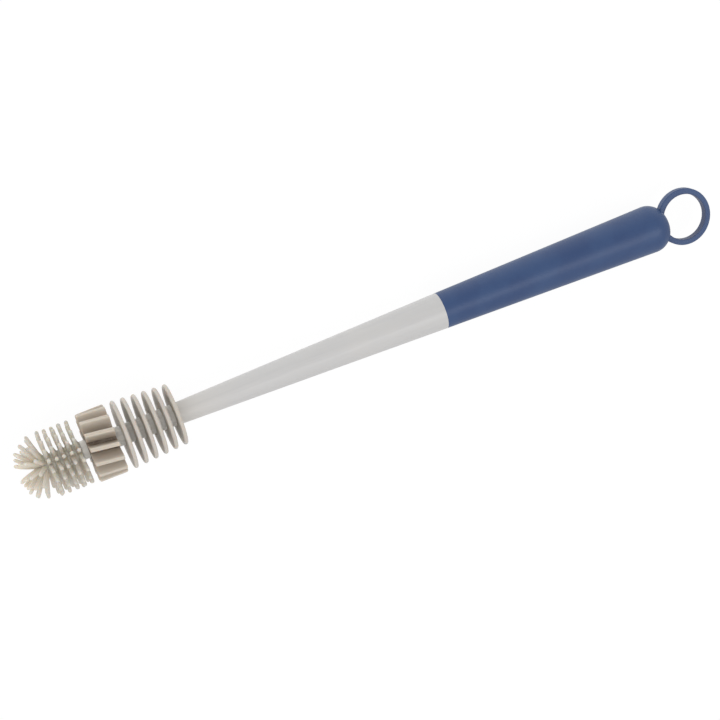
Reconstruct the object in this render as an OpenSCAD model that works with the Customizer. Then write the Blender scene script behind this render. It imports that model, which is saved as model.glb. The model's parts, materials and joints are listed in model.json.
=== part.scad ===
// Bottle brush with a three-part silicone head, a tapered shaft, a grip and a hanging ring.
// It lies on its side as it comes to rest, carried by a scraper disc and by the grip's thick end.
// All lengths are in millimetres and all angles in degrees.

/* [Bristle tip] */
// Diameter of the silicone core that carries the bristles
core_d = 8.8; // [7.5:0.1:9.6]
// Distance from the first bristle ring to the core's end at the stem
core_len = 15.8; // [15.4:0.1:20]
// Diameter over the bristles that stand straight out
bristle_span = 32; // [24:0.2:38]
// Reach of the end bristles past the centre of the core's rounded end
spray_reach = 14; // [10:0.2:18]
// Diameter of a bristle at its root
bristle_root_d = 2; // [1.2:0.02:2.2]
// Diameter of a bristle just before its rounded end
bristle_end_d = 1.76; // [1:0.02:2]
// Bristles in each ring
ring_bristles = 18; // [12:1:18]
// Number of rings of bristles that stand straight out
ring_count = 5; // [2:1:5]
// Distance between two bristle rings
ring_pitch = 3.55; // [2.8:0.05:3.6]
// Distance from the centre of the rounded end to the first bristle ring
ring_start = 1.6; // [1:0.1:2.5]
// Number of rings of bristles over the rounded end
spray_rings = 4; // [2:1:4]
// Angle between two rings over the rounded end
spray_step = 17.5; // [14:0.5:17.5]
// Angle from the axis to the innermost ring of end bristles
spray_start = 20; // [12:1:24]
// Bristles that a ring at a right angle to the axis would hold at the end bristles' spacing
spray_bristles = 15; // [10:1:16]
// Turn of the bristle rows from the upper side
bristle_turn = 2; // [-10:0.5:10]
// Turn of the parting between the end bristles from the upper side
parting_turn = 17; // [-30:0.5:30]

/* [Fluted block] */
// Diameter over the vanes
block_d = 33.3; // [26:0.1:38]
// Length of the block along the axis
block_len = 13.7; // [8:0.1:16]
// Number of vanes
vane_count = 14; // [10:1:15]
// Thickness of a vane
vane_t = 2; // [1.8:0.1:2.8]
// Diameter at the floor of the grooves
floor_d = 16; // [14:0.1:19]
// Rounding of a vane's long edges
vane_round = 0.6; // [0.3:0.05:0.8]
// Rounding of the block's two end edges
block_round = 0.9; // [0.4:0.05:1.5]
// Lean of the vanes away from the axis
vane_lean = 7.8; // [0:0.1:12]
// Turn of the groove that is nearest the upper side
groove_turn = 3; // [-12:0.5:12]

/* [Scraper discs] */
// Number of discs
disc_count = 6; // [3:1:6]
// Diameter of the disc nearest the tip
disc_first_d = 33.2; // [27:0.1:38]
// Diameter of the disc nearest the grip
disc_last_d = 29.8; // [24:0.1:38]
// Thickness of a disc
disc_t = 1.85; // [1.2:0.05:2.2]
// Distance between two discs
disc_pitch = 5.05; // [4:0.05:6.5]

/* [Shaft] */
// Diameter of the stem where it meets the bristle tip
stem_d = 8.8; // [8.2:0.1:9.6]
// Bare stem between the bristle tip and the fluted block
neck_1 = 2.6; // [2:0.1:6]
// Bare stem between the fluted block and the first disc
neck_2 = 3.3; // [2:0.1:7]
// Diameter of the shaft at the last disc
throat_d = 10.5; // [9.8:0.1:12.5]
// Length of the shaft from the last disc to the grip
shaft_len = 136.8; // [90:0.2:180]
// Diameter of the shaft where it meets the grip
joint_d = 17.9; // [16:0.1:20]
// Depth of the seats that hold the block and the discs
seat_depth = 0.6; // [0.3:0.05:0.8]
// Diameter of the post inside the bristle tip
post_d = 4.6; // [4:0.1:5]
// Length of the post inside the bristle tip
post_len = 14.5; // [11:0.1:15]
// Diameter of the barb near the post's end
barb_d = 5.8; // [5.2:0.1:6]
// Length of the barb
barb_len = 2.4; // [1.6:0.1:3]
// Distance from the post's end to the barb
barb_back = 2.6; // [2:0.1:3.5]
// Diameter of the spigot inside the grip
spigot_d = 12; // [10:0.1:14]
// Length of the spigot inside the grip
spigot_len = 70; // [40:1:95]
// Chamfer at the spigot's end
spigot_chamfer = 1; // [0.5:0.1:1.5]

/* [Grip] */
// Length of the grip
grip_len = 122.8; // [108:0.2:150]
// Largest diameter of the grip, near the ring
grip_d = 23.5; // [21:0.1:27]
// Rounding of the grip's end
grip_round = 9.4; // [8.5:0.1:11.5]

/* [Hanging ring] */
// Outer diameter of the ring
ring_od = 28.3; // [25:0.1:32]
// Width of the ring's band between its outer and inner edge
ring_band = 2.8; // [2:0.1:3]
// Thickness of the ring, face to face
ring_t = 3.8; // [2.4:0.1:4]
// Rounding of the ring's edges
ring_round = 0.4; // [0.2:0.05:0.8]
// Distance from the grip's end to the ring's centre
ring_reach = 9.8; // [8.8:0.1:10.2]

/* [Fits] */
// Clearance around the stem, post and barb under the silicone, on the radius
sleeve_fit = 0.05; // [0.02:0.01:0.1]
// Clearance around the spigot in the grip, on the radius and at its end
spigot_fit = 0.1; // [0.05:0.01:0.2]
// Clearance around the ring in the grip
ring_fit = 0.12; // [0.08:0.01:0.2]

/* [Hidden] */
$fn = 48;
round_fn = 96; // sides of the large round shapes
soft_fn = 7;   // sides of a bristle
tip_steps = 2; // steps in the rounding of a bristle's end
lap = 0.6;     // how far a bristle's root runs into the core
spare = 1;     // how far a cut runs past a face that it opens, and a joined shape into its neighbour
end_room = 0.3; // how far outside the vanes the rounding of the block's ends starts

core_r = core_d / 2;
span_r = bristle_span / 2;

// Reach of an end bristle that leans by an angle from the axis: its ends lie on an ellipsoid.
function spray_len(lean) =
    1 / sqrt(pow(cos(lean) / spray_reach, 2) + pow(sin(lean) / span_r, 2));
function spray_lean(i) = spray_start + spray_step * i;
// Every ring of end bristles has an even number, so that the parting runs right through the middle.
function spray_count(i) = 2 * round(spray_bristles * sin(spray_lean(i)) / 2);

// Places along the axis, from the foremost bristle end
tip_z = spray_len(spray_start) * cos(spray_start);
first_ring_z = tip_z + ring_start;
core_end_z = first_ring_z + core_len;
block_z = core_end_z + neck_1;
block_end_z = block_z + block_len;
disc_z = block_end_z + neck_2 + disc_t / 2;
last_disc_z = disc_z + disc_pitch * (disc_count - 1);
joint_z = last_disc_z + shaft_len;
grip_end_z = joint_z + grip_len;
ring_z = grip_end_z + ring_reach;
total_len = ring_z + ring_od / 2;

function disc_place(i) = disc_z + disc_pitch * i;
function disc_d(i) = disc_first_d + (disc_last_d - disc_first_d) * i / (disc_count - 1);
// Diameter of the bare stem, which widens evenly from the bristle tip to the last disc
function stem_at(z) = stem_d + (throat_d - stem_d) * (z - core_end_z) / (last_disc_z - core_end_z);
// Diameter at the bottom of a seat in the stem
function seat_at(z) = stem_at(z) - 2 * seat_depth;

// The post's end is round, and its barb is a collar with a sloping front.
post_z = core_end_z - post_len;
barb_z = post_z + barb_back;

// Places where the head can touch the surface that the brush lies on: each is a small circle in the
// outline, as [place along the axis, distance of its centre from the axis, its radius].
head_touch = concat(
    [for (i = [0:disc_count - 1]) [disc_place(i), (disc_d(i) - disc_t) / 2, disc_t / 2]],
    [for (z = [block_z + block_round, block_end_z - block_round])
        [z, block_d / 2 - block_round, block_round]],
    [for (i = [0:ring_count - 1]) [first_ring_z + ring_pitch * i, span_r, 0]]);
grip_touch = [grip_end_z - grip_round, grip_d / 2 - grip_round, grip_round];

// Angle at which a straight line touches one circle of the head and the grip's rounded end
function touch_angle(head) =
    let (run = grip_touch[0] - head[0], drop = head[1] - grip_touch[1])
    atan2(drop, run) + asin((head[2] - grip_touch[2]) / norm([run, drop]));
lay_angle = max([for (head = head_touch) touch_angle(head)]);
// Height of the axis above the surface at the foremost bristle end
tip_height = grip_touch[0] * sin(lay_angle) + grip_touch[1] * cos(lay_angle) + grip_touch[2];

// Lays a piece that was drawn along +Z down along +X, with the middle of the brush at the origin.
// What faced -X then faces up.
module lay() {
    translate([-total_len * cos(lay_angle) / 2, 0, tip_height])
        rotate([0, 90 + lay_angle, 0])
            children();
}

// Ring with a rounded rim around the Z axis, centred on its own thickness
module round_rim(d, bore, thickness, rounding) {
    rim = d / 2 - rounding;
    flat = thickness - 2 * rounding;
    rotate_extrude($fn = round_fn) {
        translate([bore / 2, -thickness / 2])
            square([rim - bore / 2, thickness]);
        if (flat > 0) {
            translate([rim, -flat / 2])
                square([rounding, flat]);
            for (side = [-1, 1])
                translate([rim, side * flat / 2])
                    circle(r = rounding);
        } else {
            translate([rim, 0])
                circle(r = rounding);
        }
    }
}

// One bristle along +Z, from inside the core to its rounded end at the given reach
module bristle(reach) {
    tip = bristle_end_d / 2;
    rotate_extrude($fn = soft_fn)
        polygon(concat(
            [[0, core_r - lap], [bristle_root_d / 2, core_r - lap]],
            [for (k = [0:tip_steps - 1])
                let (rise = 90 * k / tip_steps)
                [tip * cos(rise), reach - tip + tip * sin(rise)]],
            [[0, reach]]));
}

// Bristles spread evenly around the axis, the first of them turned from the upper side
module ring_of_bristles(count, lean, reach, turn) {
    for (i = [0:count - 1])
        rotate([0, 0, 180 - turn + 360 * i / count])
            rotate([0, lean, 0])
                bristle(reach);
}

// One ring of end bristles, with the parting halfway between two of its bristles
module ring_of_end_bristles(count, lean) {
    ring_of_bristles(count, 180 - lean, spray_len(lean), parting_turn - 180 / count);
}

// The post with its barb, drawn larger all round by the play to make the hole for it
module post(play) {
    translate([0, 0, post_z + post_d / 2])
        cylinder(h = post_len - post_d / 2 + spare, d = post_d + 2 * play);
    translate([0, 0, post_z + post_d / 2])
        sphere(d = post_d + 2 * play);
    translate([0, 0, barb_z - play])
        cylinder(h = barb_len + 2 * play, d1 = post_d + 2 * play, d2 = barb_d + 2 * play);
}

// Band around the stem that is cut away to seat a piece of silicone
module seat(z, length) {
    translate([0, 0, z])
        difference() {
            cylinder(h = length, d = stem_at(z + length) + spare);
            translate([0, 0, -spare])
                cylinder(h = length + 2 * spare, d = seat_at(z + length / 2));
        }
}

module shaft() {
    color([0.78, 0.78, 0.77])
        lay()
            difference() {
                union() {
                    post(0);
                    translate([0, 0, core_end_z])
                        cylinder(h = last_disc_z - core_end_z, d1 = stem_d, d2 = throat_d);
                    translate([0, 0, last_disc_z])
                        cylinder(h = shaft_len, d1 = throat_d, d2 = joint_d);
                    translate([0, 0, joint_z - spare])
                        cylinder(h = spigot_len - spigot_chamfer + spare, d = spigot_d);
                    translate([0, 0, joint_z + spigot_len - spigot_chamfer])
                        cylinder(h = spigot_chamfer, d1 = spigot_d, d2 = spigot_d - 2 * spigot_chamfer);
                }
                seat(block_z, block_len);
                for (i = [0:disc_count - 1])
                    seat(disc_place(i) - disc_t / 2, disc_t);
            }
}

module bristle_tip() {
    color([0.85, 0.81, 0.74])
        lay()
            difference() {
                union() {
                    translate([0, 0, tip_z])
                        cylinder(h = core_end_z - tip_z, d = core_d);
                    translate([0, 0, tip_z])
                        sphere(d = core_d);
                    for (i = [0:ring_count - 1])
                        translate([0, 0, first_ring_z + ring_pitch * i])
                            ring_of_bristles(ring_bristles, 90, span_r, bristle_turn);
                    for (i = [0:spray_rings - 1])
                        translate([0, 0, tip_z])
                            ring_of_end_bristles(spray_count(i), spray_lean(i));
                }
                post(sleeve_fit);
            }
}

// One vane along +Z, from inside the block's floor out along +X, with its long edges rounded
module vane() {
    root = floor_d / 2 - lap;
    edge = block_d / 2 - vane_round;
    land = vane_t - 2 * vane_round;
    linear_extrude(height = block_len + 2 * spare, center = true) {
        translate([root, -vane_t / 2])
            square([edge - root, vane_t]);
        translate([edge - spare, -land / 2])
            square([vane_round + spare, land]);
        for (side = [-1, 1])
            translate([edge, side * land / 2])
                circle(r = vane_round);
    }
}

module fluted_block() {
    color([0.82, 0.78, 0.73])
        lay()
            translate([0, 0, block_z + block_len / 2])
                difference() {
                    intersection() {
                        union() {
                            cylinder(h = block_len + 2 * spare, d = floor_d, center = true);
                            for (i = [0:vane_count - 1])
                                rotate([0, 0, 180 + groove_turn - (i + 0.5) * 360 / vane_count])
                                    rotate([-vane_lean, 0, 0])
                                        vane();
                        }
                        round_rim(block_d + 2 * end_room, 0, block_len, block_round + end_room);
                    }
                    cylinder(
                        h = block_len + 2 * spare,
                        d = seat_at(block_z + block_len / 2) + 2 * sleeve_fit,
                        center = true);
                }
}

module disc(i) {
    color([0.81, 0.79, 0.76])
        lay()
            translate([0, 0, disc_place(i)])
                round_rim(disc_d(i), seat_at(disc_place(i)) + 2 * sleeve_fit, disc_t, disc_t / 2);
}

// The ring, drawn larger all round by the play to make the slot for it
module ring_body(play) {
    translate([0, 0, ring_z])
        rotate([0, 90, 0])
            difference() {
                round_rim(ring_od + 2 * play, 0, ring_t + 2 * play, ring_round);
                cylinder(h = 2 * ring_t, d = ring_od - 2 * ring_band - 2 * play, center = true);
            }
}

// The grip's own shape, an even cone with a rounded end, from its joint with the shaft
module grip_body() {
    straight = grip_len - grip_round;
    flat = grip_d / 2 - grip_round;
    rotate_extrude($fn = round_fn) {
        polygon([
            [0, 0],
            [joint_d / 2, 0],
            [flat + grip_round, straight],
            [flat, straight + grip_round],
            [0, straight + grip_round]]);
        translate([flat, straight])
            intersection() {
                circle(r = grip_round);
                square(grip_round);
            }
    }
}

module grip() {
    color([0.27, 0.34, 0.52])
        lay()
            difference() {
                translate([0, 0, joint_z])
                    grip_body();
                translate([0, 0, joint_z - spare])
                    cylinder(h = spigot_len + spigot_fit + spare, d = spigot_d + 2 * spigot_fit);
                ring_body(ring_fit);
            }
}

module hanging_ring() {
    color([0.27, 0.34, 0.52])
        lay()
            ring_body(0);
}

shaft();
bristle_tip();
fluted_block();
for (i = [0:disc_count - 1]) {
    disc(i);
}
grip();
hanging_ring();
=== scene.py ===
# %% [markdown]
# # A bottle brush, from solids to a picture
# The brush has been built already, piece by piece, as exact solids that show its sizes and its weight.
# This lesson gives it its looks: soft bristles, rounded vanes, and the finish of silicone and plastic.
# Each step says first what a thing is on the real brush, and then how it is made here and why.

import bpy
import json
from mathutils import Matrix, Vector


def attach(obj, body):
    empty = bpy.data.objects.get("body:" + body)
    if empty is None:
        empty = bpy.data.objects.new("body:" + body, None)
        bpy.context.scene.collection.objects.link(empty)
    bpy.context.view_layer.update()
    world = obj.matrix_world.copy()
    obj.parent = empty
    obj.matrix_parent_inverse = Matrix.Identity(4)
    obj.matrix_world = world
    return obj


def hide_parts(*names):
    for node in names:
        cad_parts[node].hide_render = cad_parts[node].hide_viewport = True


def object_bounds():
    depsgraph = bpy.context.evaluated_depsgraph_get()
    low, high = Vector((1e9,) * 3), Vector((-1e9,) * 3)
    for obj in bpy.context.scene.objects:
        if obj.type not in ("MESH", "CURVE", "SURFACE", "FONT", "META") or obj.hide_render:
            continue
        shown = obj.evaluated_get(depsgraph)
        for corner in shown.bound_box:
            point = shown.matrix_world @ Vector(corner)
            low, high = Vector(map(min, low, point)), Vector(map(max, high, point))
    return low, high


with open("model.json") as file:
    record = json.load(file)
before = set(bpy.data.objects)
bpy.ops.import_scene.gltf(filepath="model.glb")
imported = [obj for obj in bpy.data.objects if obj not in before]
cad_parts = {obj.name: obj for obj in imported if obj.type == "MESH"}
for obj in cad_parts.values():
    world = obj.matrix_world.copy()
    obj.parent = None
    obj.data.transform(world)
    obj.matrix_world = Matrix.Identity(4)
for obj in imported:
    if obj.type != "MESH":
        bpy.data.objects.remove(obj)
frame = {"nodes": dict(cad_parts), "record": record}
cad_low, cad_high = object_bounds()
nodes = frame["nodes"]
print("solids:", ", ".join(sorted(nodes)))

# %% Modules
import json
import math

import bmesh
import bpy
import numpy as np
from mathutils import Matrix, Vector

MM = 0.001

# %% [markdown]
# ## Where the brush lies
# A round brush lies on its widest disc and on the thick end of its grip, so its axis slopes a little.
# Every piece of it is centred on that axis. The slope could be worked out again from the sizes, but the
# record already gives the centre of the hanging ring and the way that the ring faces, and the two fix
# the axis. So the place of each piece follows from its solid. Only what a solid doesn't tell straight
# away, such as the number of bristles in a ring, is written down again.

# %% The axis of the brush
hang_ring = frame["record"]["mounts"][0]
ring_centre = Vector(hang_ring["pos_m"])
above = Vector(hang_ring["axis"]).normalized()
along = Vector((above.z, 0.0, -above.x))
across = above.cross(along)


def axis_spots(name):
    """The run along the axis from the ring's centre, and the distance to the axis, of each corner."""
    corners = np.array([v.co for v in nodes[name].data.vertices]) - np.array(ring_centre)
    run = corners @ np.array(along)
    return run, np.linalg.norm(corners - np.outer(run, np.array(along)), axis=1)


tip = ring_centre + along * float(axis_spots("bristle_tip")[0].min())
slope = math.degrees(math.atan2(above.x, above.z))
ring_run = (ring_centre - tip).dot(along)
print(f"the axis slopes {slope:.2f} degrees, and the ring is {ring_run / MM:.1f} mm from the tip")

# %% [markdown]
# It is easiest to draw a turned piece standing up, with its axis along Z and the bristle end at zero.
# One matrix then lays it down where the solids are. What faces -X in the drawing faces up on the brush.

# %% From the drawing to the brush
lay_down = Matrix.Identity(4)
for column, direction in enumerate((-above, across, along)):
    lay_down.col[column] = (*direction, 0.0)
lay_down.col[3] = (*tip, 1.0)


def measure(name):
    """Start, end, smallest and largest radius of a solid, as the drawing has them."""
    run, radius = axis_spots(name)
    run = run + ring_run
    return run.min(), run.max(), radius.min(), radius.max()


block_start, block_end, block_bore, block_radius = measure("fluted_block")
_, tip_end, tip_bore, _ = measure("bristle_tip")
discs = sorted(name for name in nodes if name.startswith("disc_"))
disc_spans = [measure(name) for name in discs]
discs_start, first_disc_end, disc_bore, first_disc_radius = disc_spans[0]
last_disc_start, discs_end, _, last_disc_radius = disc_spans[-1]
print(f"the bristle tip ends at {tip_end / MM:.2f} mm")
print(f"block {block_start / MM:.2f} to {block_end / MM:.2f} mm, radius {block_radius / MM:.2f} mm")
print(f"{len(discs)} discs, from {discs_start / MM:.2f} to {discs_end / MM:.2f} mm")

# %% [markdown]
# ## The camera
# The brush is looked at from above and a little from the far side, with a long lens, so that its
# two ends look about equally large. The camera could be aimed at a point and turned by angles, but
# angles depend on how the brush lies. So the camera's place, the way back from the brush to it and
# its upward side are given along the brush, across it and above it, and the view stays the same.

# %% Camera
def on_brush(run, side, height):
    """A direction given along the brush, across it and above it."""
    return along * run + across * side + above * height


CAMERA_PLACE = (-0.0126, 0.2678, 0.8201)
CAMERA_BACK = (-0.2045, 0.3122, 0.9274)
CAMERA_UP = (0.3574, 0.9061, -0.2256)
LENS = 92.86
FILM_WIDTH = 36.0

lens = bpy.data.cameras.new("camera")
lens.lens, lens.sensor_width = LENS, FILM_WIDTH
lens.clip_start, lens.clip_end = 0.01, 20.0
camera = bpy.data.objects.new("camera", lens)
bpy.context.collection.objects.link(camera)
bpy.context.scene.camera = camera

back = on_brush(*CAMERA_BACK).normalized()
right = on_brush(*CAMERA_UP).cross(back).normalized()
turned = Matrix((right, back.cross(right), back)).transposed().to_4x4()
camera.matrix_world = Matrix.Translation(tip + on_brush(*CAMERA_PLACE)) @ turned
print(f"camera {camera.location.z:.2f} m above the floor, {lens.lens:.1f} mm lens")

# %% [markdown]
# ## A small language for nodes
# Materials and Geometry Nodes are both made of nodes and links. Written out one by one they are long
# and hard to read, so two small classes do the wiring. A `Wire` is one output of a node. Adding or
# multiplying wires makes the Math nodes for it, so a formula looks like a formula. A `Board` is a
# tree of nodes: its method `node` makes any node, and `split` takes a place apart into x, y and z.

# %% Wires and boards
class Wire:
    """An output socket that Python's own operators can work on."""

    def __init__(self, board, socket):
        self.board, self.socket = board, socket

    def maths(self, operation, *values):
        return self.board.node("ShaderNodeMath", {"operation": operation}, dict(enumerate(values)))

    def __add__(self, other):
        return self.maths("ADD", self, other)

    def __sub__(self, other):
        return self.maths("SUBTRACT", self, other)

    def __rsub__(self, other):
        return self.maths("SUBTRACT", other, self)

    def __mul__(self, other):
        return self.maths("MULTIPLY", self, other)

    def __truediv__(self, other):
        return self.maths("DIVIDE", self, other)

    def __rtruediv__(self, other):
        return self.maths("DIVIDE", other, self)

    def __pow__(self, other):
        return self.maths("POWER", self, other)

    def __mod__(self, other):
        return self.maths("MODULO", self, other)

    def __gt__(self, other):
        return self.maths("GREATER_THAN", self, other)

    def __lt__(self, other):
        return self.maths("LESS_THAN", self, other)

    __radd__, __rmul__ = __add__, __mul__

    def lowest(self, other):
        return self.maths("MINIMUM", self, other)

    def highest(self, other):
        return self.maths("MAXIMUM", self, other)

    def root(self):
        return self.maths("SQRT", self)

    def floor(self):
        return self.maths("FLOOR", self)

    def sine(self):
        return self.maths("SINE", self)

    def cosine(self):
        return self.maths("COSINE", self)


class Board:
    """A tree of nodes, in a material or in Geometry Nodes."""

    def __init__(self, tree):
        self.tree = tree

    def node(self, kind, settings=None, values=None, output=0):
        """Makes a node with these settings and values or wires, and returns one of its outputs."""
        made = self.tree.nodes.new(kind)
        for key, value in (settings or {}).items():
            if key == "stops":
                self.set_stops(made.color_ramp, value)
            else:
                setattr(made, key, value)
        for key, value in (values or {}).items():
            self.plug(made.inputs[key], value)
        return Wire(self, made.outputs[output])

    def plug(self, socket, value):
        """Links a wire to a socket, or sets the socket to a plain value."""
        if isinstance(value, Wire):
            self.tree.links.new(value.socket, socket)
        else:
            socket.default_value = value

    def split(self, vector):
        """The x, y and z of a vector."""
        parts = self.node("ShaderNodeSeparateXYZ", None, {"Vector": vector}).socket.node.outputs
        return (Wire(self, part) for part in parts)

    @staticmethod
    def set_stops(ramp, stops):
        while len(ramp.elements) < len(stops):
            ramp.elements.new(0.5)
        for element, (place, colour) in zip(ramp.elements, stops):
            element.position, element.color = place, colour


print("boards and wires are ready")

# %% [markdown]
# ## Light
# The brush lies on a large white light table, so light reaches it from below as well as from above.
# The table is a little brighter on the far side. The ceiling is dimmer than the table and a little
# brighter on the near side, and everything gets darker towards the handle's end. Many lamps could be
# set up for this. The world's background does it alone, because it can give every direction its own
# brightness. Two soft lamps are added: a wide one overhead draws a long, faint shine along the plastic,
# and a small one near the head lifts the ends of the bristles.

# %% Background and lamps
TABLE = 1.0
FAR_TABLE = 0.25
CEILING = 0.82
NEAR_CEILING = 0.18
HANDLE_SHADE = 0.12
LOW_EDGE = -0.1
HIGH_EDGE = 0.7

bpy.context.scene.view_settings.view_transform = "Standard"
world = bpy.data.worlds.new("white_studio")
bpy.context.scene.world = world
world.use_nodes = True
sky = Board(world.node_tree)
handle_side, far_side, height = sky.split(sky.node("ShaderNodeTexCoord", output="Generated"))
raised = ((height - LOW_EDGE) / (HIGH_EDGE - LOW_EDGE)).highest(0.0).lowest(1.0)
low_light = far_side * FAR_TABLE + TABLE
high_light = far_side * -NEAR_CEILING + CEILING
brightness = low_light * (1.0 - raised) + high_light * raised - handle_side * HANDLE_SHADE
backdrop = world.node_tree.nodes["Background"]
sky.plug(backdrop.inputs["Color"], (1.0, 1.0, 1.0, 1.0))
sky.plug(backdrop.inputs["Strength"], brightness)


def soft_box(name, target, towards, far, long, wide, watts):
    """A soft lamp that hangs a given way from its target, with its long side along the brush."""
    light = bpy.data.lights.new(name, "AREA")
    light.shape = "RECTANGLE"
    light.size, light.size_y, light.energy = long, wide, watts
    lamp = bpy.data.objects.new(name, light)
    bpy.context.collection.objects.link(lamp)
    towards = Vector(towards).normalized()
    beside = towards.cross(Vector((1.0, 0.0, 0.0))).normalized()
    turned = Matrix((beside.cross(towards), beside, towards)).transposed().to_4x4()
    lamp.matrix_world = Matrix.Translation(target + towards * far) @ turned
    print(name, "at", tuple(round(v, 2) for v in lamp.location))


middle = (cad_low + cad_high) / 2
soft_box("overhead_lamp", middle, (0.38, -0.18, 0.91), far=1.5, long=1.0, wide=0.6, watts=3.8)
soft_box("head_lamp", tip, (-0.35, 0.5, 0.79), far=0.45, long=0.3, wide=0.3, watts=0.26)

# %% [markdown]
# ## Patterns that every finish uses
# A finish on a real product is never one flat colour. It drifts a little from place to place, it has a
# fine grain from the mould, and it picks up small marks in use. All of this could be painted on
# pictures that are wrapped round the pieces. Patterns in space need no wrapping and have no seams.
# They read the place on the brush in millimetres: x along it, y across it and z above its axis. So the
# numbers in a finish are real sizes.

# %% Brush coordinates and common patterns
brush_turn = Matrix((along, across, above)).transposed().to_euler()


def finish_board(name):
    """A new material with its board, its main shader and the place on the brush in millimetres."""
    material = bpy.data.materials.new(name)
    material.use_nodes = True
    board = Board(material.node_tree)
    shader = material.node_tree.nodes["Principled BSDF"]
    place = board.node(
        "ShaderNodeMapping", {"vector_type": "TEXTURE"},
        {"Vector": board.node("ShaderNodeTexCoord", output="Object"),
         "Location": tuple(tip), "Rotation": tuple(brush_turn), "Scale": (MM, MM, MM)})
    return material, board, shader, place


def linear(red, green, blue):
    """The linear numbers that light needs, from a colour as a screen shows it, from 0 to 255."""
    def one(value):
        value /= 255.0
        return value / 12.92 if value <= 0.04045 else ((value + 0.055) / 1.055) ** 2.4
    return (one(red), one(green), one(blue), 1.0)


def clouds(board, place, per_mm, detail=2.0, roughness=0.5, stretch=(1.0, 1.0, 1.0)):
    """Soft noise from 0 to 1, with so many cells in a millimetre."""
    if stretch != (1.0, 1.0, 1.0):
        place = board.node("ShaderNodeMapping", None, {"Vector": place, "Scale": stretch})
    return board.node(
        "ShaderNodeTexNoise", None,
        {"Vector": place, "Scale": per_mm, "Detail": detail, "Roughness": roughness})


def cells(board, place, per_mm):
    """The distance to the nearest of many scattered points, with so many of them along a millimetre."""
    return board.node("ShaderNodeTexVoronoi", {"feature": "F1"}, {"Vector": place, "Scale": per_mm})


def smooth_step(board, value, low, high):
    """0 below one value, 1 above the other, and an even turn between them."""
    return board.node(
        "ShaderNodeMapRange", {"interpolation_type": "SMOOTHSTEP"},
        {"Value": value, "From Min": low, "From Max": high})


# The Mix node has a set of sockets for each kind of value. These are its sockets for colours.
MIX_AMOUNT, MIX_FIRST, MIX_SECOND, MIX_RESULT = 0, 6, 7, 2


def blend(board, amount, first, second):
    """A mix of two colours, from the first at 0 to the second at 1."""
    return board.node(
        "ShaderNodeMix", {"data_type": "RGBA"},
        {MIX_AMOUNT: amount, MIX_FIRST: first, MIX_SECOND: second}, output=MIX_RESULT)


def patches(board, colour, pattern, low, high, strength, tint):
    """Lays a tint over a colour where a pattern is high. It fades in from the low to the high value."""
    return blend(board, smooth_step(board, pattern, low, high) * strength, colour, tint)


def bump(board, height, depth_mm, under=None):
    """A bump from a height that runs from 0 to 1, with its depth in millimetres."""
    values = {"Height": height, "Distance": depth_mm * MM, "Strength": 1.0}
    if under is not None:
        values["Normal"] = under
    return board.node("ShaderNodeBump", None, values)


def connect(board, shader, **wires):
    """Puts wires or values on the main shader's sockets. An underscore stands for a space in a name."""
    for key, value in wires.items():
        board.plug(shader.inputs[key.replace("_", " ")], value)


print("the place on the brush is turned by", tuple(round(math.degrees(a), 2) for a in brush_turn))

# %% [markdown]
# ## Silicone
# The bristles, the vanes and the discs are moulded silicone: soft, pale and slightly see-through. Light
# goes in a little way and comes out warmer, so thin edges glow. Subsurface scattering gives this. The
# colour that changes with the distance from the axis holds painted light and shade: the floors of the
# block's grooves are painted dark, the bristles' ends are painted greyer to tone down the light on
# them, and the bristle core and the roots of the discs are painted paler for light that reaches in
# there. Each piece could be painted by itself, but one tint that follows the distance from the axis
# fits them all.
# The mould leaves a fine matt grain, and handling leaves lint and shinier places.

# %% Silicone finish
TINTS_REACH = 20.0
TINT_DRIFT = 0.8
WARMER = (0.93, 0.885, 0.80, 1.0)
LINT = (0.93, 0.93, 0.92, 1.0)


def silicone(name, tints_and_shade, roughness):
    """Silicone whose tint changes outwards, with painted light and shade in it. Each tint comes with
    its distance from the axis in mm.
    """
    material, board, shader, place = finish_board(name)
    _, y, z = board.split(place)
    from_axis = (y * y + z * z).root()
    drift = clouds(board, place, per_mm=0.16, detail=3.0)
    outwards = (from_axis + (drift - 0.5) * TINT_DRIFT) / TINTS_REACH
    stops = [(mm / TINTS_REACH, linear(*tint)) for mm, tint in tints_and_shade]
    colour = board.node("ShaderNodeValToRGB", {"stops": stops}, {"Fac": outwards})
    mottle = clouds(board, place, per_mm=0.9, detail=4.0, roughness=0.6)
    warm = tuple(c * k for c, k in zip(stops[-1][1], WARMER))
    colour = patches(board, colour, mottle, low=0.46, high=0.78, strength=0.35, tint=warm)
    speck = 1.0 - smooth_step(board, cells(board, place, per_mm=0.55), low=0.035, high=0.085)
    colour = blend(board, speck * 0.4, colour, LINT)
    rub = clouds(board, place, per_mm=0.5, detail=5.0, roughness=0.65)
    grain = clouds(board, place, per_mm=7.0, detail=3.0, roughness=0.6)
    ripple = clouds(board, place, per_mm=0.8, detail=1.0)
    connect(
        board, shader,
        Base_Color=colour,
        Roughness=roughness + (rub - 0.5) * 0.22 + speck * 0.15,
        Normal=bump(board, grain, depth_mm=0.012, under=bump(board, ripple, depth_mm=0.05)),
        Subsurface_Weight=0.45,
        Subsurface_Radius=(1.0, 0.68, 0.42),
        Subsurface_Scale=2.4 * MM,
        IOR=1.41,
    )
    return material


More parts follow.
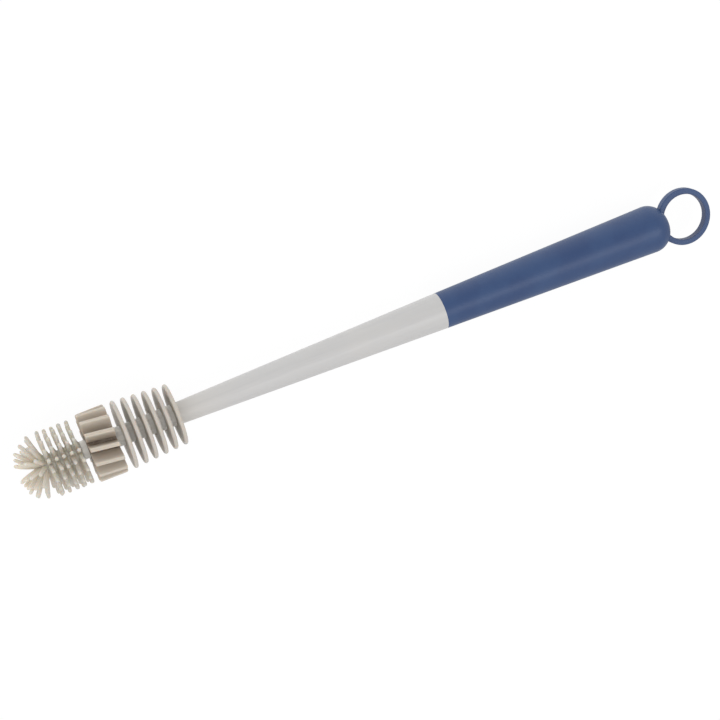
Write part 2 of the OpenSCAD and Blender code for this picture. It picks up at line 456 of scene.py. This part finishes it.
# From the axis outwards, with painted light and shade: the block's groove floors are painted dark, the
# bristles' ends greyer to tone down their light, and the roots by the core and the stem paler.
BRISTLE_TINTS_AND_SHADE = [(4.4, (222, 214, 200)), (11.5, (217, 213, 204)), (16.0, (198, 195, 187))]
BLOCK_TINTS_AND_SHADE = [
    (7.9, (116, 102, 88)), (8.9, (188, 176, 162)), (14.5, (187, 177, 164)), (16.2, (199, 191, 179))]
DISC_TINTS_AND_SHADE = [(4.6, (218, 211, 200)), (5.6, (198, 191, 179)), (15.5, (197, 191, 183))]
bristle_silicone = silicone("bristle_silicone", BRISTLE_TINTS_AND_SHADE, roughness=0.56)
block_silicone = silicone("block_silicone", BLOCK_TINTS_AND_SHADE, roughness=0.46)
disc_silicone = silicone("disc_silicone", DISC_TINTS_AND_SHADE, roughness=0.46)
print("three silicone finishes, from the bristles' warm tint to the discs' cooler one")

# %% [markdown]
# ## Grey plastic
# The shaft is pale grey moulded plastic with a silky face. The melt ran along the mould, so its faint
# streaks run along the shaft, and so do the fine scratches that a bottle's mouth leaves. Light that has
# gone through the silicone fills the gaps in the head, so the stem looks almost white there. That light
# could be followed through many more bounces, but a paler colour gives the same look at once. The
# places where the colour changes come from the discs.

# %% Shaft plastic
NECK, STEM_START, STEM_END = linear(243, 240, 233), linear(232, 230, 224), linear(250, 248, 244)
BEHIND_HEAD, PLAIN_GREY = linear(202, 199, 195), linear(198, 197, 196)
STREAK, CAST = linear(188, 187, 188), linear(205, 202, 198)
STREAK_STRETCH = (0.02, 0.9, 0.9)
SCRATCH_STRETCH = (0.12, 5.0, 5.0)

# Lengths in millimetres over which one grey turns into the next
NECK_FADE, STEM_FADE, HEAD_FADE, SHAFT_FADE = 1.5, 16.0, 1.8, 40.0


def shaft_plastic():
    """Grey plastic: almost white in the head, a little warmer just behind it, and plain beyond."""
    material, board, shader, place = finish_board("grey_plastic")
    run, _, _ = board.split(place)
    first_disc, last_disc = discs_start / MM, last_disc_start / MM
    down_the_shaft = smooth_step(board, run, last_disc, last_disc + SHAFT_FADE)
    colour = blend(board, down_the_shaft, BEHIND_HEAD, PLAIN_GREY)
    down_the_stem = smooth_step(board, run, first_disc, first_disc + STEM_FADE)
    in_head = 1.0 - smooth_step(board, run, last_disc, last_disc + HEAD_FADE)
    colour = blend(board, in_head, colour, blend(board, down_the_stem, STEM_START, STEM_END))
    neck = 1.0 - smooth_step(board, run, first_disc - NECK_FADE, first_disc)
    colour = blend(board, neck, colour, NECK)
    streaks = clouds(board, place, per_mm=1.0, detail=4.0, roughness=0.6, stretch=STREAK_STRETCH)
    colour = patches(board, colour, streaks, low=0.42, high=0.75, strength=0.35, tint=STREAK)
    cast = clouds(board, place, per_mm=0.05, detail=2.0)
    colour = patches(board, colour, cast, low=0.45, high=0.7, strength=0.25, tint=CAST)
    scratch = clouds(board, place, per_mm=1.0, detail=2.0, roughness=0.4, stretch=SCRATCH_STRETCH)
    scratch = smooth_step(board, scratch, low=0.66, high=0.74)
    grain = clouds(board, place, per_mm=5.0, detail=3.0)
    connect(
        board, shader,
        Base_Color=colour,
        Roughness=0.32 + (streaks - 0.5) * 0.12 + scratch * 0.12,
        Normal=bump(board, grain, depth_mm=0.006, under=bump(board, scratch, depth_mm=-0.008)),
        Subsurface_Weight=0.12,
        Subsurface_Radius=(1.0, 0.9, 0.8),
        Subsurface_Scale=1.5 * MM,
        IOR=1.49,
    )
    return material


grey_plastic = shaft_plastic()
print("shaft finish:", grey_plastic.name)

# %% [markdown]
# ## Blue plastic
# The grip and the ring are blue plastic with a matt texture that gives a wet hand some hold. Hands rub
# the grip lighter near the ring. The wall of the ring's hole is painted a deeper blue for the shade
# that falls in it. A mask could be painted for the hole. Here it comes from the distance to the ring's
# centre, and the radius of the hole is measured on the solid.

# %% Grip plastic
ring_corners = np.array([v.co for v in nodes["hanging_ring"].data.vertices]) - np.array(ring_centre)
corner_radius = np.hypot(ring_corners @ np.array(along), ring_corners @ np.array(across))
RING_HOLE = float(corner_radius.min()) / MM
HOLE_SHADE_BLUE, GRIP_BLUE, SOFT_BLUE = linear(22, 44, 88), linear(40, 66, 110), linear(46, 73, 116)
MOTTLED, WORN = linear(62, 82, 120), linear(84, 100, 134)

# Lengths in millimetres: the end of the grip that wears most, and the edge of the painted shade in the
# ring's hole
WORN_END, HOLE_SHADE_FADE = 24.0, 0.8


def grip_plastic():
    """Blue plastic with a fine matt texture, lighter where hands rub it, with painted shade in the
    ring's hole.
    """
    material, board, shader, place = finish_board("blue_plastic")
    run, side, _ = board.split(place)
    drift = clouds(board, place, per_mm=0.07, detail=3.0)
    colour = blend(board, smooth_step(board, drift, low=0.35, high=0.65), GRIP_BLUE, SOFT_BLUE)
    mottle = clouds(board, place, per_mm=1.1, detail=4.0, roughness=0.65)
    colour = patches(board, colour, mottle, low=0.5, high=0.8, strength=0.3, tint=MOTTLED)
    near_ring = smooth_step(board, run, ring_run / MM - WORN_END, ring_run / MM)
    scuff = clouds(board, place, per_mm=2.2, detail=5.0, roughness=0.7)
    worn = smooth_step(board, scuff + near_ring * 0.08, low=0.62, high=0.74)
    colour = blend(board, worn * 0.35, colour, WORN)
    off_centre = run - ring_run / MM
    from_centre = (off_centre * off_centre + side * side).root()
    # Painted shade: the wall of the ring's hole is darkened towards a deep blue.
    hole_shade = 1.0 - smooth_step(board, from_centre, RING_HOLE, RING_HOLE + HOLE_SHADE_FADE)
    colour = blend(board, hole_shade * 0.8, colour, HOLE_SHADE_BLUE)
    texture = cells(board, place, per_mm=2.6)
    grain = clouds(board, place, per_mm=6.0, detail=2.0)
    connect(
        board, shader,
        Base_Color=colour,
        Roughness=0.42 + (mottle - 0.5) * 0.16 + worn * 0.08,
        Normal=bump(board, texture, depth_mm=0.02, under=bump(board, grain, depth_mm=0.012)),
        IOR=1.5,
    )
    return material


blue_plastic = grip_plastic()
print(f"grip finish: {blue_plastic.name}, and the ring's hole has a radius of {RING_HOLE:.2f} mm")

# %% [markdown]
# ## The table
# The brush lies on a plain white light table, which shows it without a shadow. White paper under strong
# lamps would show the brush's own shade, so the table glows. Its base colour is nearly black: then the
# lamps add almost nothing, and the glow alone sets how white it is. The background already stands for
# the light that the table sends up, so the table itself is hidden from the light on the brush.

# %% Floor
FLOOR_HALF = 3.0
FLOOR_GLOW = 0.95
DARK, LESS_DARK = (0.03, 0.03, 0.03, 1.0), (0.05, 0.05, 0.05, 1.0)

# The floor's own coordinates are in metres, unlike those of the brush.
CELLS_PER_METRE = 900.0


def floor_finish():
    """A glowing sheet, with a grain that is far too fine to draw the eye."""
    material = bpy.data.materials.new("pale_floor")
    material.use_nodes = True
    board = Board(material.node_tree)
    fibre = clouds(board, board.node("ShaderNodeTexCoord", output="Object"), CELLS_PER_METRE)
    connect(
        board, material.node_tree.nodes["Principled BSDF"],
        Base_Color=blend(board, fibre, DARK, LESS_DARK),
        Roughness=0.85,
        Emission_Color=(1.0, 1.0, 1.0, 1.0),
        Emission_Strength=FLOOR_GLOW,
    )
    return material


floor_mesh = bpy.data.meshes.new("floor")
floor_mesh.from_pydata(
    [(x, y, 0.0) for x, y in ((-1, -1), (1, -1), (1, 1), (-1, 1))], [], [(0, 1, 2, 3)])
floor_mesh.transform(Matrix.Translation((0.0, 0.0, cad_low.z)) @ Matrix.Scale(FLOOR_HALF, 4))
floor = bpy.data.objects.new("floor", floor_mesh)
bpy.context.collection.objects.link(floor)
floor_mesh.materials.append(floor_finish())
floor.visible_diffuse = False
floor.visible_glossy = False
print(f"floor {2 * FLOOR_HALF:.0f} m across")

# %% [markdown]
# ## Growing pieces from a rule
# Bristles, vanes and discs repeat, so they are grown by Geometry Nodes: a tree holds the rule, and its
# inputs hold the sizes. A loop in Python could place every corner as well, but a rule is shorter, and
# it can be grown again with other sizes. Every tree ends by making its copies real, because instances
# would be lost in an export, and by setting the finish. A tree is grown on an empty object, and the
# result is kept as a plain mesh, which is what the rest of the work needs.

# %% A tree with named inputs
class RuleTree(Board):
    """A Geometry Nodes tree. Named counts, sizes and a finish go in, and one geometry comes out."""

    def __init__(self, name, counts, sizes):
        super().__init__(bpy.data.node_groups.new(name, "GeometryNodeTree"))
        face = self.tree.interface
        face.new_socket("Geometry", in_out="OUTPUT", socket_type="NodeSocketGeometry")
        for labels, kind in ((counts, "NodeSocketInt"), (sizes, "NodeSocketFloat")):
            for label in labels:
                face.new_socket(label, in_out="INPUT", socket_type=kind)
        face.new_socket("finish", in_out="INPUT", socket_type="NodeSocketMaterial")
        self.given = self.tree.nodes.new("NodeGroupInput")

    def __getitem__(self, label):
        return Wire(self, self.given.outputs[label])

    def xyz(self, x, y, z):
        return self.node("ShaderNodeCombineXYZ", None, {0: x, 1: y, 2: z})

    def total(self, first, second):
        return self.node("ShaderNodeVectorMath", {"operation": "ADD"}, {0: first, 1: second})

    def scaled(self, vector, factor):
        return self.node("ShaderNodeVectorMath", {"operation": "SCALE"}, {0: vector, "Scale": factor})

    def line(self, start, end, points):
        """A straight curve with evenly spaced points."""
        curve = self.node("GeometryNodeCurvePrimitiveLine", None, {"Start": start, "End": end})
        return self.node("GeometryNodeResampleCurve", None, {"Curve": curve, "Count": points})

    def circle(self, points):
        """A circle of radius 1 round the axis."""
        return self.node(
            "GeometryNodeCurvePrimitiveCircle", None, {"Resolution": points, "Radius": 1.0})

    def heap(self, count):
        """Points that all lie at the origin, for copies that are told apart by their numbers."""
        return self.node("GeometryNodeMeshLine", None, {"Count": count, "Offset": (0.0, 0.0, 0.0)})

    def real(self, geometry):
        """Gives every instance, which only points at a shape, a shape of its own."""
        return self.node("GeometryNodeRealizeInstances", None, {"Geometry": geometry})

    def copies(self, points, shape, **turn):
        """A copy of a shape on every point, each made real."""
        return self.real(self.node(
            "GeometryNodeInstanceOnPoints", None, {"Points": points, "Instance": shape, **turn}))

    def keep(self, geometry, name, value, kind="FLOAT"):
        """Stores a value at each point of a shape, under a name."""
        return self.node(
            "GeometryNodeStoreNamedAttribute", {"data_type": kind},
            {"Geometry": geometry, "Name": name, "Value": value})

    def kept(self, name, kind="FLOAT"):
        """Reads a stored value back."""
        return self.node("GeometryNodeInputNamedAttribute", {"data_type": kind}, {"Name": name})

    def put(self, geometry, x, y, z):
        """Moves each point of a shape to a place."""
        return self.node(
            "GeometryNodeSetPosition", None, {"Geometry": geometry, "Position": self.xyz(x, y, z)})

    def close(self, geometry):
        """Ends the tree: all of it is made real and gets the finish."""
        finished = self.node(
            "GeometryNodeSetMaterial", None,
            {"Geometry": self.real(geometry), "Material": self["finish"]})
        end = self.tree.nodes.new("NodeGroupOutput")
        self.tree.links.new(finished.socket, end.inputs["Geometry"])


def grow(rule, **values):
    """Grows a tree with these sizes and this finish, and returns a plain mesh."""
    name = rule.tree.name
    host = bpy.data.objects.new(name, bpy.data.meshes.new(name))
    bpy.context.collection.objects.link(host)
    modifier = host.modifiers.new(name, "NODES")
    modifier.node_group = rule.tree
    for item in rule.tree.interface.items_tree:
        if item.in_out == "INPUT" and item.name in values:
            modifier[item.identifier] = values[item.name]
    bpy.context.view_layer.update()
    grown = host.evaluated_get(bpy.context.evaluated_depsgraph_get())
    mesh = bpy.data.meshes.new_from_object(grown)
    bpy.data.objects.remove(host)
    return mesh


def piece(name, meshes, finish, sharp_above=None):
    """Joins meshes that are drawn along Z, lays them down on the brush and makes them an object."""
    joined = bmesh.new()
    for mesh in meshes:
        joined.from_mesh(mesh)
    bmesh.ops.transform(joined, matrix=lay_down, verts=joined.verts)
    bmesh.ops.recalc_face_normals(joined, faces=joined.faces)
    result = bpy.data.meshes.new(name)
    joined.to_mesh(result)
    joined.free()
    result.materials.append(finish)
    result.shade_smooth()
    if sharp_above is not None:
        result.set_sharp_from_angle(angle=math.radians(sharp_above))
    made = bpy.data.objects.new(name, result)
    bpy.context.collection.objects.link(made)
    return made


print("rules can be grown")

# %% [markdown]
# ## The bristle tip
# The tip is one moulding: a core with a round end, rings of bristles that stand straight out, and a
# spray of bristles over the round end that parts in the middle. A bristle is a thin cone with a
# rounded end, a little thicker at its root, and no two of them point quite the same way.
# Use has left its marks. The rings lean towards the tip on the far side and away from it on the near
# side, and the lowest bristles on the near side are pressed towards the tip. The end bristles are
# combed apart, more to one side than to the other.
# One rule grows one ring. A bristle could be a cylinder that a modifier bends, but a curve is the
# better base: it can be bent and made thicker or thinner along its length before it gets its skin.

# %% The rule for one ring of bristles
BRISTLE_POINTS = 9
BRISTLE_SIDES = 10
THINNEST = 0.02
FLARE_ENDS = 1.0 / 5.0


def bristle_rule():
    """One ring. Every bend grows from nothing at the root, so the bristles stay rooted in the core."""
    rule = RuleTree("ring_of_bristles", counts=("count", "seed"), sizes=(
        "lean", "turn", "place", "root", "reach", "root_width", "end_width", "flare", "sway",
        "swept", "swept_towards", "lean_back", "parting", "parted", "one_sided"))
    # One bristle, straight up. Its points lie closer together towards the rounded end.
    along_it = rule.node("GeometryNodeSplineParameter", output="Factor")
    line = rule.line((0.0, 0.0, 0.0), (0.0, 0.0, 1.0), BRISTLE_POINTS)
    rise = 1.0 - (1.0 - along_it) ** 2.0
    height = rule["root"] + (rule["reach"] - rule["root"]) * rise
    end_radius = rule["end_width"] * 0.5
    cone = rule["root_width"] * 0.5 * (1.0 - rise) + end_radius * rise
    left = ((rule["reach"] - height) / end_radius).lowest(1.0).highest(THINNEST)
    rounded = (left * (2.0 - left)).root()
    foot = rule["flare"] * ((1.0 - rise / FLARE_ENDS).highest(0.0)) ** 2.0
    line = rule.keep(line, "rise", rise)
    line = rule.keep(line, "girth", cone * rounded + foot)
    line = rule.put(line, 0.0, 0.0, height)

    # The ring: each bristle's own sway, its side of the parting and its push along the brush
    index = rule.node("GeometryNodeInputIndex")
    most, least = rule["sway"], rule["sway"] * -1.0
    bend = rule.node(
        "FunctionNodeRandomValue", {"data_type": "FLOAT_VECTOR"},
        {"Min": rule.xyz(least, least, least), "Max": rule.xyz(most, most, most),
         "ID": index, "Seed": rule["seed"]})
    angle = rule["turn"] + index * (2.0 * math.pi) / rule["count"]
    side = ((angle - rule["parting"]).sine() > 0.0) * 2.0 - 1.0
    away = (side - rule["one_sided"]) * rule["parted"]
    away = rule.xyz(rule["parting"].sine() * away * -1.0, rule["parting"].cosine() * away, 0.0)
    pressed = (angle - rule["swept_towards"]).cosine().highest(0.0)
    pushed = rule["swept"] * pressed ** 4.0 + rule["lean_back"] * angle.sine()
    spots = rule.keep(rule.heap(rule["count"]), "bend", rule.total(bend, away), "FLOAT_VECTOR")
    spots = rule.keep(spots, "pushed", pushed)
    bristles = rule.copies(spots, line, Rotation=rule.xyz(0.0, rule["lean"], angle))

    # Bend every bristle by these, the more the further it has risen, and give it a skin.
    rise = rule.kept("rise")
    slanted = 1.0 - (1.0 - rise) ** 3.0
    moved = rule.total(
        rule.scaled(rule.kept("bend", "FLOAT_VECTOR"), rise * rise),
        rule.xyz(0.0, 0.0, rule["place"] - rule.kept("pushed") * slanted))
    bristles = rule.node("GeometryNodeSetPosition", None, {"Geometry": bristles, "Offset": moved})
    round_skin = rule.circle(BRISTLE_SIDES)
    rule.close(rule.node(
        "GeometryNodeCurveToMesh", None,
        {"Curve": bristles, "Profile Curve": round_skin, "Scale": rule.kept("girth"),
         "Fill Caps": True}))
    return rule


ring_rule = bristle_rule()
print("rule:", ring_rule.tree.name, "with", len(ring_rule.tree.nodes), "nodes")

# %% Sizes of the bristle tip
CORE_RADIUS = 4.4 * MM
LAP = 0.6 * MM
ROOT_WIDTH = 2.0 * MM
END_WIDTH = 1.76 * MM
FLARE = 0.5 * MM
RING_BRISTLES = 18
RING_COUNT = 5
RING_PITCH = 3.55 * MM
RING_START = 1.6 * MM
CORE_LENGTH = 15.8 * MM
SPAN = 32.0 * MM
SPRAY_REACH = 14.0 * MM
SPRAY_BRISTLES = 15
SPRAY_START, SPRAY_STEP, SPRAY_RINGS = 20.0, 17.5, 4
SPRAY_LEANS = [math.radians(SPRAY_START + SPRAY_STEP * k) for k in range(SPRAY_RINGS)]

# Turns round the axis, from the upper side of the brush
ROW_TURN = math.radians(2.0)
PARTING_TURN = math.radians(17.0)

# Marks of use. The swept side is counted from the under side, and below zero is on the near side.
RING_SWAY = 0.35 * MM
SPRAY_SWAY = 0.6 * MM
SWEPT = 2.5 * MM
SWEPT_TOWARDS = math.radians(-52.0)
LEAN_BACK = 0.9 * MM
PARTED = 1.7 * MM
ONE_SIDED = 0.5
RING_SEED, SPRAY_SEED = 11, 31


def spray_length(lean):
    """Reach of an end bristle: the ends of all of them lie on an egg-shaped surface."""
    return 1.0 / math.hypot(math.cos(lean) / SPRAY_REACH, math.sin(lean) / (SPAN / 2))


first_ring = tip_end - CORE_LENGTH
spray_centre = first_ring - RING_START
print(f"end bristles spring from {spray_centre / MM:.2f} mm, first ring at {first_ring / MM:.2f} mm")

# %% Grow the bristles
def grow_ring(**sizes):
    """One ring, with the finish and the sizes that all the rings share."""
    return grow(
        ring_rule, finish=bristle_silicone, root=CORE_RADIUS - LAP, root_width=ROOT_WIDTH,
        end_width=END_WIDTH, flare=FLARE, **sizes)


rings = []
for k in range(RING_COUNT):
    rings.append(grow_ring(
        count=RING_BRISTLES, lean=math.pi / 2, turn=math.pi - ROW_TURN,
        place=first_ring + RING_PITCH * k, reach=SPAN / 2, sway=RING_SWAY, seed=RING_SEED + k,
        swept=SWEPT, swept_towards=SWEPT_TOWARDS, lean_back=LEAN_BACK))
for k, lean in enumerate(SPRAY_LEANS):
    count = 2 * round(SPRAY_BRISTLES * math.sin(lean) / 2)
    rings.append(grow_ring(
        count=count, lean=math.pi - lean, turn=math.pi - PARTING_TURN + math.pi / count,
        place=spray_centre, reach=spray_length(lean), sway=SPRAY_SWAY, seed=SPRAY_SEED + k,
        parting=math.pi - PARTING_TURN, parted=PARTED * math.cos(lean) ** 2, one_sided=ONE_SIDED))
print("rings:", len(rings), "with", sum(len(m.polygons) for m in rings), "faces")

# %% [markdown]
# The core is a turned piece. A cylinder and a ball could be joined for it, but one outline that is
# carried round the axis has no seam between them. The outline stays a hair clear of the axis, so that
# no faces shrink to nothing there, and its round end hides under the roots of the spray.

# %% Turn an outline round the axis
def turn_outline(name, outline, sides):
    """A closed mesh from a closed outline of (radius, height) pairs that stays clear of the axis."""
    corners, faces = [], []
    for s in range(sides):
        angle = 2.0 * math.pi * s / sides
        corners += [(r * math.cos(angle), r * math.sin(angle), z) for r, z in outline]
    n = len(outline)
    for s in range(sides):
        a, b = s * n, (s + 1) % sides * n
        faces += [(a + k, b + k, b + (k + 1) % n, a + (k + 1) % n) for k in range(n)]
    mesh = bpy.data.meshes.new(name)
    mesh.from_pydata(corners, [], faces)
    return mesh


NEAR_AXIS = 0.02 * MM
CHAMFER = 0.25 * MM
ARC_POINTS, WALL_POINTS, CORE_SIDES = 13, 12, 72
round_end = [
    (CORE_RADIUS * math.sin(a), spray_centre - CORE_RADIUS * math.cos(a))
    for a in np.linspace(0.0, math.pi / 2, ARC_POINTS)[1:]]
wall = [(CORE_RADIUS, z) for z in np.linspace(spray_centre, tip_end - CHAMFER, WALL_POINTS)[1:]]
core = turn_outline("core", (
    [(NEAR_AXIS, spray_centre - CORE_RADIUS)] + round_end + wall
    + [(CORE_RADIUS - CHAMFER, tip_end), (tip_bore + NEAR_AXIS, tip_end)]), CORE_SIDES)
print("core faces:", len(core.polygons))

# %% Bristle tip
bristle_head = piece("bristles_and_core", rings + [core], bristle_silicone)
print(f"{bristle_head.name}: {len(bristle_head.data.polygons)} faces")

# %% [markdown]
# ## The vaned block
# Behind the bristles sits a block with fourteen vanes, like a gear with deep teeth, which scrubs the
# wall of a bottle. A gear could be made from one tooth and an array, but then the teeth would have to
# be joined. Here the whole outline is one closed curve: a circle whose points are moved to the corners
# of the vanes, with its corners rounded, is pulled along the axis. The vanes are plates that lean a
# little, so each row of the outline slides sideways as it goes up, and the ends are drawn in round.

# %% The rule for the vaned block
BLOCK_ROWS = 41
CORNER_POINTS = 5
BORE_SIDES = 48
DRILL_LENGTH = 0.1


def vane_rule():
    """The block. Four corners in a row belong to one vane: root, edge, edge and root."""
    rule = RuleTree("vaned_block", counts=("vanes",), sizes=(
        "thickness", "outer", "inner", "length", "place", "lean", "turn",
        "edge_round", "root_round", "end_round", "soft_edge", "bore"))
    # The outline: its corners go to their places, and each fillet puts a few points for its corner.
    index = rule.node("GeometryNodeInputIndex")
    outline = rule.circle(rule["vanes"] * 4)
    corner = index % 4.0
    spoke = rule["turn"] + (((index / 4.0).floor()) + 0.5) * (2.0 * math.pi) / rule["vanes"]
    is_outer = (corner > 0.5) * (corner < 2.5)
    side = (corner > 1.5) * 2.0 - 1.0
    half = rule["thickness"] * 0.5
    radius = rule["inner"] + (rule["outer"] - rule["inner"]) * is_outer
    out = (radius * radius - half * half).root()
    sideways = side * half
    outline = rule.keep(outline, "spoke", spoke)
    outline = rule.put(
        outline,
        out * spoke.cosine() - sideways * spoke.sine(),
        out * spoke.sine() + sideways * spoke.cosine(), 0.0)
    outline = rule.node(
        "GeometryNodeFilletCurve", {"mode": "POLY"},
        {"Curve": outline, "Count": CORNER_POINTS, "Limit Radius": True,
         "Radius": rule["root_round"] + (rule["edge_round"] - rule["root_round"]) * is_outer})
    facing = rule.node(
        "ShaderNodeVectorMath", {"operation": "CROSS_PRODUCT"},
        {0: rule.node("GeometryNodeInputTangent"), 1: (0.0, 0.0, 1.0)})
    outline = rule.keep(outline, "facing", facing, "FLOAT_VECTOR")

    # The rows stand closer together at both ends, where the block is rounded.
    upwards = rule.node("GeometryNodeSplineParameter", output="Factor")
    rows = rule.line((0.0, 0.0, 0.0), (0.0, 0.0, 1.0), BLOCK_ROWS)
    eased = 0.5 - (upwards * math.pi).cosine() * 0.5
    rows = rule.put(rows, 0.0, 0.0, rule["length"] * eased)
    body = rule.node(
        "GeometryNodeCurveToMesh", None,
        {"Curve": rows, "Profile Curve": outline, "Fill Caps": True})

    # Soften both ends, slide the rows sideways, round the block's end edges and drill its bore.
    spoke, facing = rule.kept("spoke"), rule.kept("facing", "FLOAT_VECTOR")
    spot = rule.node("GeometryNodeInputPosition")
    _, _, z = rule.split(spot)
    from_end = z.lowest(rule["length"] - z).highest(0.0)

    def drawn_in(size):
        """How far a quarter circle of this size has drawn a point in, from its distance to the end."""
        short = (size - from_end).highest(0.0)
        return size - (size * size - short * short).highest(0.0).root()

    inset = rule.scaled(facing, drawn_in(rule["soft_edge"]) * -1.0)
    slide = (z - rule["length"] * 0.5) * rule["lean"]
    slid = rule.xyz(spoke.sine() * slide * -1.0, spoke.cosine() * slide, 0.0)
    x, y, z = rule.split(rule.total(rule.total(spot, inset), slid))
    radius = (x * x + y * y).root()
    limit = ((rule["outer"] - drawn_in(rule["end_round"])) / radius).lowest(1.0)
    body = rule.put(body, x * limit, y * limit, z + rule["place"])
    drill = rule.node(
        "GeometryNodeMeshCylinder", None,
        {"Vertices": BORE_SIDES, "Radius": rule["bore"], "Depth": DRILL_LENGTH}, output="Mesh")
    rule.close(rule.node(
        "GeometryNodeMeshBoolean", {"operation": "DIFFERENCE", "solver": "EXACT"},
        {"Mesh 1": body, "Mesh 2": drill}, output="Mesh"))
    return rule


block_rule = vane_rule()
print("rule:", block_rule.tree.name, "with", len(block_rule.tree.nodes), "nodes")

# %% Grow the vaned block
VANES = 14
VANE_THICKNESS = 2.0 * MM
GROOVE_FLOOR = 8.0 * MM
VANE_LEAN = math.radians(7.8)
GROOVE_TURN = math.radians(3.0)
EDGE_ROUND, ROOT_ROUND, END_ROUND, SOFT_EDGE = 0.6 * MM, 0.4 * MM, 0.9 * MM, 0.3 * MM

block_mesh = grow(
    block_rule, finish=block_silicone, vanes=VANES, thickness=VANE_THICKNESS, outer=block_radius,
    inner=GROOVE_FLOOR, length=block_end - block_start, place=block_start,
    lean=math.tan(VANE_LEAN), turn=math.pi + GROOVE_TURN, edge_round=EDGE_ROUND,
    root_round=ROOT_ROUND, end_round=END_ROUND, soft_edge=SOFT_EDGE, bore=block_bore)
vaned_block = piece("vaned_block", [block_mesh], block_silicone, sharp_above=40.0)
print(f"{vaned_block.name}: {len(vaned_block.data.polygons)} faces")

# %% [markdown]
# ## The scraper discs
# Six thin discs follow, each a little smaller than the one before. They wipe the wall of a bottle,
# so their rims are round and soft. Each disc could be a cylinder with a bevel, but then the rim and
# the collar at its root would be two more steps. Here one outline is carried round the axis for all
# of them: the points of the outline know how far out they lie, and the copies know which disc they
# belong to. The height and the radius of every point then come from one formula.

# %% The rule for a row of discs
ROUND_SIDES = 120
OUTLINE_POINTS = 61
HAIR = 0.001


def disc_rule():
    """The discs. The outline runs from the bore over one cheek to the rim, and back over the other."""
    rule = RuleTree("row_of_discs", counts=("discs",), sizes=(
        "first_radius", "last_radius", "thickness", "pitch", "place", "bore", "stem", "collar"))
    # Every point learns three things: its place in the outline, its angle and its disc.
    index = rule.node("GeometryNodeInputIndex")
    along_it = rule.node("GeometryNodeSplineParameter", output="Factor")
    outline = rule.line((-1.0, 0.0, 0.0), (1.0, 0.0, 0.0), OUTLINE_POINTS)
    outline = rule.keep(outline, "over", along_it * 2.0 - 1.0)
    outline = rule.node("GeometryNodeSetSplineCyclic", None, {"Geometry": outline, "Cyclic": True})

    around = rule.keep(rule.circle(ROUND_SIDES), "angle", index * (2.0 * math.pi / ROUND_SIDES))
    spots = rule.keep(rule.heap(rule["discs"]), "which", index + 0.0)
    skin = rule.node(
        "GeometryNodeCurveToMesh", None,
        {"Curve": rule.copies(spots, around), "Profile Curve": outline})

    # From these follow its radius and its height: a round rim, flat cheeks and a collar at the stem.
    over, angle, which = rule.kept("over"), rule.kept("angle"), rule.kept("which")
    side = (over > 0.0) * 2.0 - 1.0
    inward = over * side
    narrowing = rule["last_radius"] - rule["first_radius"]
    rim = rule["first_radius"] + narrowing * which / (rule["discs"] - 1.0)
    from_rim = (rim - rule["bore"]) * inward * inward
    radius = rim - from_rim
    half = rule["thickness"] * 0.5
    short = (half - from_rim).highest(0.0)
    cheek = (half * half - short * short).highest(0.0).root()
    off_stem = (radius - rule["stem"]) / rule["collar"]
    collar = (off_stem > -HAIR) * rule["collar"] * ((1.0 - off_stem * 0.5).highest(0.0)) ** 2.0
    height = rule["place"] + rule["pitch"] * which + side * (cheek + collar)
    rule.close(rule.put(skin, radius * angle.cosine(), radius * angle.sine(), height))
    return rule


row_rule = disc_rule()
print("rule:", row_rule.tree.name, "with", len(row_rule.tree.nodes), "nodes")

# %% Grow the discs
STEM_RADIUS = 4.4 * MM
COLLAR = 0.35 * MM
pitch = disc_spans[1][0] - discs_start
disc_mesh = grow(
    row_rule, finish=disc_silicone, discs=len(discs), first_radius=first_disc_radius,
    last_radius=last_disc_radius, thickness=first_disc_end - discs_start, pitch=pitch,
    place=(discs_start + first_disc_end) / 2, bore=disc_bore, stem=STEM_RADIUS, collar=COLLAR)
scraper_discs = piece("scraper_discs", [disc_mesh], disc_silicone, sharp_above=50.0)
print(f"{scraper_discs.name}: {len(scraper_discs.data.polygons)} faces, pitch {pitch / MM:.2f} mm")

# %% [markdown]
# ## Which piece is which
# The shaft, the grip and the ring are hard mouldings, and their solids already have every edge that
# can be seen, so they only get a better finish. They could be drawn again with softer edges, but
# nothing would look different. The silicone pieces replace their solids, which stay in the simulation
# for contacts.

# %% Finishes on the solids
for name, finish in (("shaft", grey_plastic), ("grip", blue_plastic), ("hanging_ring", blue_plastic)):
    for slot in nodes[name].material_slots:
        slot.material = finish
    print(name, "has", finish.name)

# %% Pieces and their solids
for made, replaced in (
    (bristle_head, ["bristle_tip"]), (vaned_block, ["fluted_block"]), (scraper_discs, discs)):
    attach(made, "root")
    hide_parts(*replaced)
    print(made.name, "stands for", ", ".join(replaced))
